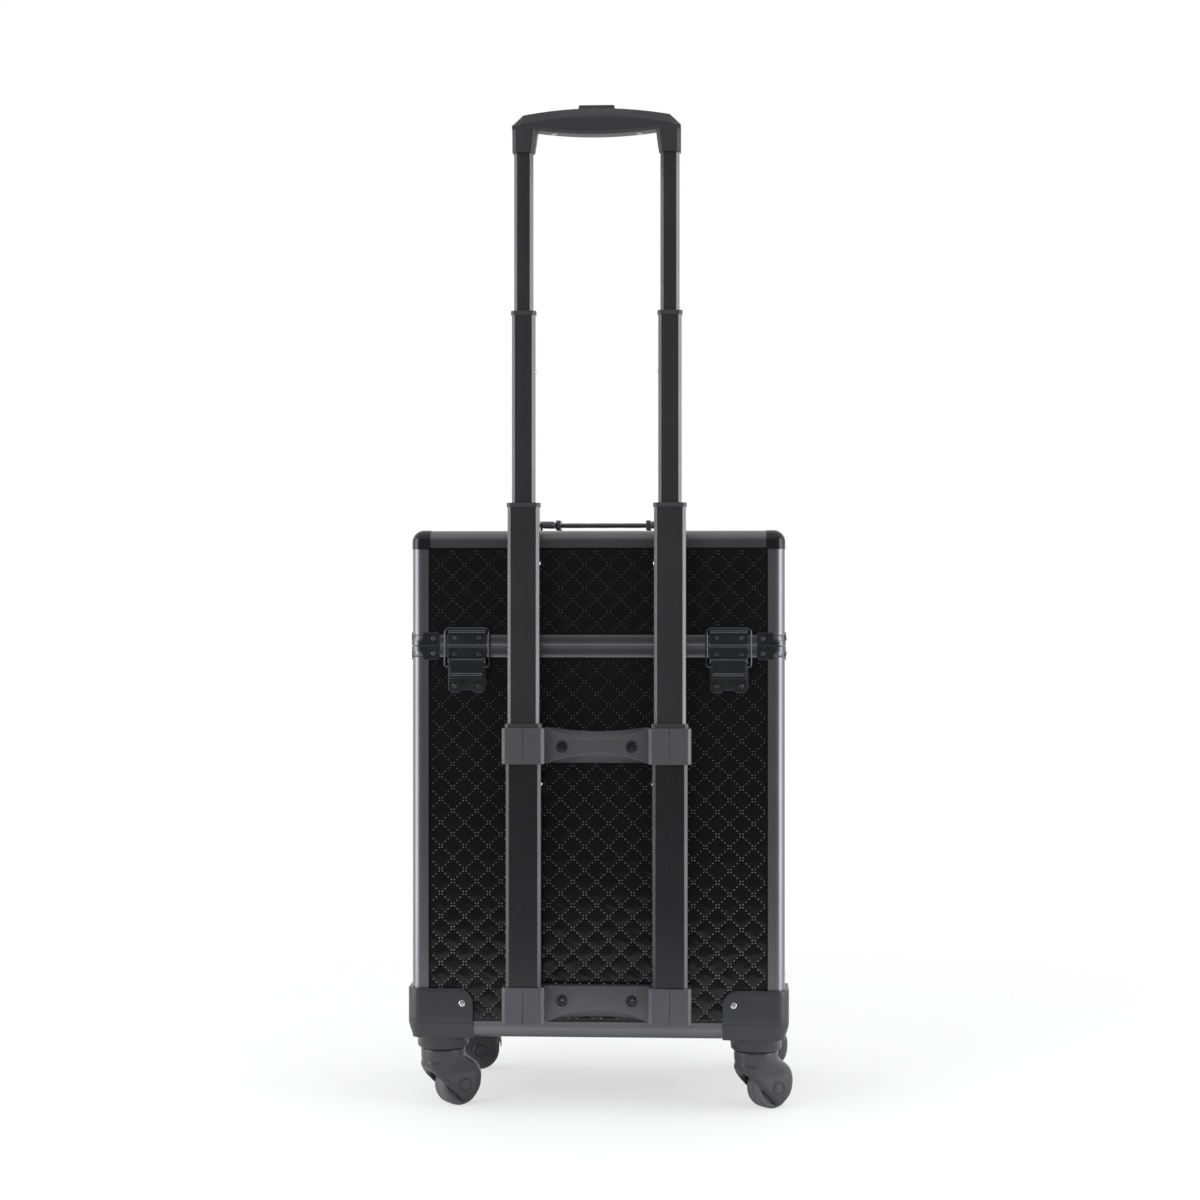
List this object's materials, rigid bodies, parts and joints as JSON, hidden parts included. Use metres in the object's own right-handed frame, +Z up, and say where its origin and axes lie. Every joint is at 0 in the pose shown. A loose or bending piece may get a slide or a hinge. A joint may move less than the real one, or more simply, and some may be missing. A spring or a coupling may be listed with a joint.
{
  "type": "rolling beauty case",
  "caption": "Upright rolling case with quilted black sides, a lift-off lid held by draw latches, swivel casters and a telescopic trolley handle.",
  "frame": {"origin": "on the floor, under the middle of the whole case with its tube brackets and latches", "axes": "+Z up; -Y towards the side with the trolley handle; +X to the right when that side is looked at"},
  "size_m": [0.3807, 0.2784, 0.9664],
  "materials": {
    "quilted_skin": "glossy embossed sheet, quilted in diamonds over board",
    "soft_lining": "short matt pile",
    "black_aluminium": "black anodised, satin",
    "bright_steel": "bright nickel plating",
    "black_steel": "black plated, semi-gloss",
    "black_plastic": "fine moulded texture, satin",
    "wheel_rubber": "smooth matt tread"
  },
  "bodies": {
    "case": {"base_panel": "quilted_skin", "front_panel": "quilted_skin", "back_panel": "quilted_skin", "end_panels": "quilted_skin", "body_lining": "soft_lining", "body_posts": "black_aluminium", "base_profiles": "black_aluminium", "body_rail": "black_aluminium", "body_rail_brackets": "black_steel", "wheel_housings": "black_plastic", "swivel_pins": "bright_steel", "latch_plates": "black_steel", "latch_pins": "bright_steel", "body_rivets": "bright_steel", "body_screws": "bright_steel", "outer_tubes": "black_aluminium", "outer_rims": "black_plastic", "upper_bracket": "black_plastic", "lower_bracket": "black_plastic"},
    "lid": {"lid_top_panel": "quilted_skin", "lid_front_panel": "quilted_skin", "lid_back_panel": "quilted_skin", "lid_end_panels": "quilted_skin", "lid_lining": "soft_lining", "lid_posts": "black_aluminium", "lid_profiles": "black_aluminium", "lid_corner_caps": "black_steel", "lid_rail": "black_aluminium", "lid_rail_brackets": "black_steel", "latch_strikes": "black_steel", "lid_rivets": "bright_steel", "handle_mounts": "black_steel", "handle_pins": "bright_steel"},
    "carry_handle": {"carry_handle": "black_plastic"},
    "second_stage": {"second_tubes": "black_aluminium", "second_bushes": "black_plastic"},
    "third_stage": {"third_tubes": "black_aluminium", "third_bushes": "black_plastic"},
    "top_stage": {"top_tubes": "black_aluminium", "top_bushes": "black_plastic", "grip_cover": "black_plastic", "grip_base": "black_plastic", "button_spring": "bright_steel"},
    "release_button": {"release_button": "black_plastic"},
    "caster_1": {"caster_fork_1": "black_plastic"},
    "wheel_1": {"wheel_1": "wheel_rubber"},
    "latch_lever_1": {"latch_lever_1": "black_steel"},
    "latch_loop_1": {"latch_loop_1": "bright_steel"},
    "caster_2": {"caster_fork_2": "black_plastic"},
    "wheel_2": {"wheel_2": "wheel_rubber"},
    "latch_lever_2": {"latch_lever_2": "black_steel"},
    "latch_loop_2": {"latch_loop_2": "bright_steel"},
    "caster_3": {"caster_fork_3": "black_plastic"},
    "wheel_3": {"wheel_3": "wheel_rubber"},
    "latch_lever_3": {"latch_lever_3": "black_steel"},
    "latch_loop_3": {"latch_loop_3": "bright_steel"},
    "caster_4": {"caster_fork_4": "black_plastic"},
    "wheel_4": {"wheel_4": "wheel_rubber"},
    "latch_lever_4": {"latch_lever_4": "black_steel"},
    "latch_loop_4": {"latch_loop_4": "bright_steel"}
  },
  "joints": [
    {"name": "lid_lift", "type": "slide", "parent": "case", "child": "lid", "axis": [0, 0, 1], "range_m": [0, 0.25]},
    {"name": "carry_handle_fold", "type": "hinge", "parent": "lid", "child": "carry_handle", "pos_m": [0, -0.01435, 0.5693], "axis": [1, 0, 0], "range_deg": [0, 95]},
    {"name": "second_slide", "type": "slide", "parent": "case", "child": "second_stage", "axis": [0, 0, 1], "range_m": [-0.201, 0]},
    {"name": "third_slide", "type": "slide", "parent": "second_stage", "child": "third_stage", "axis": [0, 0, 1], "range_m": [-0.1735, 0]},
    {"name": "top_slide", "type": "slide", "parent": "third_stage", "child": "top_stage", "axis": [0, 0, 1], "range_m": [-0.15, 0]},
    {"name": "button_press", "type": "slide", "parent": "top_stage", "child": "release_button", "axis": [0, 0, -1], "range_m": [0, 0.003], "stiffness_N_per_m": 600, "springref_m": -0.0005},
    {"name": "caster_swivel_1", "type": "hinge", "parent": "case", "child": "caster_1", "pos_m": [-0.1525, -0.08285, 0.0564], "axis": [0, 0, 1], "continuous": true},
    {"name": "wheel_spin_1", "type": "hinge", "parent": "caster_1", "child": "wheel_1", "pos_m": [-0.13989, -0.073, 0.021], "axis": [-0.6157, 0.788, 0], "continuous": true},
    {"name": "caster_swivel_2", "type": "hinge", "parent": "case", "child": "caster_2", "pos_m": [0.1525, -0.08285, 0.0564], "axis": [0, 0, 1], "continuous": true},
    {"name": "wheel_spin_2", "type": "hinge", "parent": "caster_2", "child": "wheel_2", "pos_m": [0.16511, -0.073, 0.021], "axis": [-0.6157, 0.788, 0], "continuous": true},
    {"name": "caster_swivel_3", "type": "hinge", "parent": "case", "child": "caster_3", "pos_m": [-0.1525, 0.10215, 0.0564], "axis": [0, 0, 1], "continuous": true},
    {"name": "wheel_spin_3", "type": "hinge", "parent": "caster_3", "child": "wheel_3", "pos_m": [-0.13672, 0.10479, 0.021], "axis": [-0.165, 0.9863, 0], "continuous": true},
    {"name": "caster_swivel_4", "type": "hinge", "parent": "case", "child": "caster_4", "pos_m": [0.1525, 0.10215, 0.0564], "axis": [0, 0, 1], "continuous": true},
    {"name": "wheel_spin_4", "type": "hinge", "parent": "caster_4", "child": "wheel_4", "pos_m": [0.16511, 0.112, 0.021], "axis": [-0.6157, 0.788, 0], "continuous": true},
    {"name": "lever_swing_1", "type": "hinge", "parent": "case", "child": "latch_lever_1", "pos_m": [-0.126, -0.11435, 0.4356], "axis": [-1, 0, 0], "range_deg": [0, 120]},
    {"name": "loop_swing_1", "type": "hinge", "parent": "latch_lever_1", "child": "latch_loop_1", "pos_m": [-0.126, -0.11375, 0.4299], "axis": [1, 0, 0], "range_deg": [0, 156]},
    {"name": "lever_swing_2", "type": "hinge", "parent": "case", "child": "latch_lever_2", "pos_m": [0.126, -0.11435, 0.4356], "axis": [-1, 0, 0], "range_deg": [0, 120]},
    {"name": "loop_swing_2", "type": "hinge", "parent": "latch_lever_2", "child": "latch_loop_2", "pos_m": [0.126, -0.11375, 0.4299], "axis": [1, 0, 0], "range_deg": [0, 156]},
    {"name": "lever_swing_3", "type": "hinge", "parent": "case", "child": "latch_lever_3", "pos_m": [0.126, 0.13365, 0.4356], "axis": [1, 0, 0], "range_deg": [0, 120]},
    {"name": "loop_swing_3", "type": "hinge", "parent": "latch_lever_3", "child": "latch_loop_3", "pos_m": [0.126, 0.13305, 0.4299], "axis": [-1, 0, 0], "range_deg": [0, 156]},
    {"name": "lever_swing_4", "type": "hinge", "parent": "case", "child": "latch_lever_4", "pos_m": [-0.126, 0.13365, 0.4356], "axis": [1, 0, 0], "range_deg": [0, 120]},
    {"name": "loop_swing_4", "type": "hinge", "parent": "latch_lever_4", "child": "latch_loop_4", "pos_m": [-0.126, 0.13305, 0.4299], "axis": [-1, 0, 0], "range_deg": [0, 156]}
  ],
  "couplings": [
    {"joint": "loop_swing_1", "follows": "lever_swing_1", "ratio": 1.3},
    {"joint": "loop_swing_2", "follows": "lever_swing_2", "ratio": 1.3},
    {"joint": "loop_swing_3", "follows": "lever_swing_3", "ratio": 1.3},
    {"joint": "loop_swing_4", "follows": "lever_swing_4", "ratio": 1.3}
  ]
}
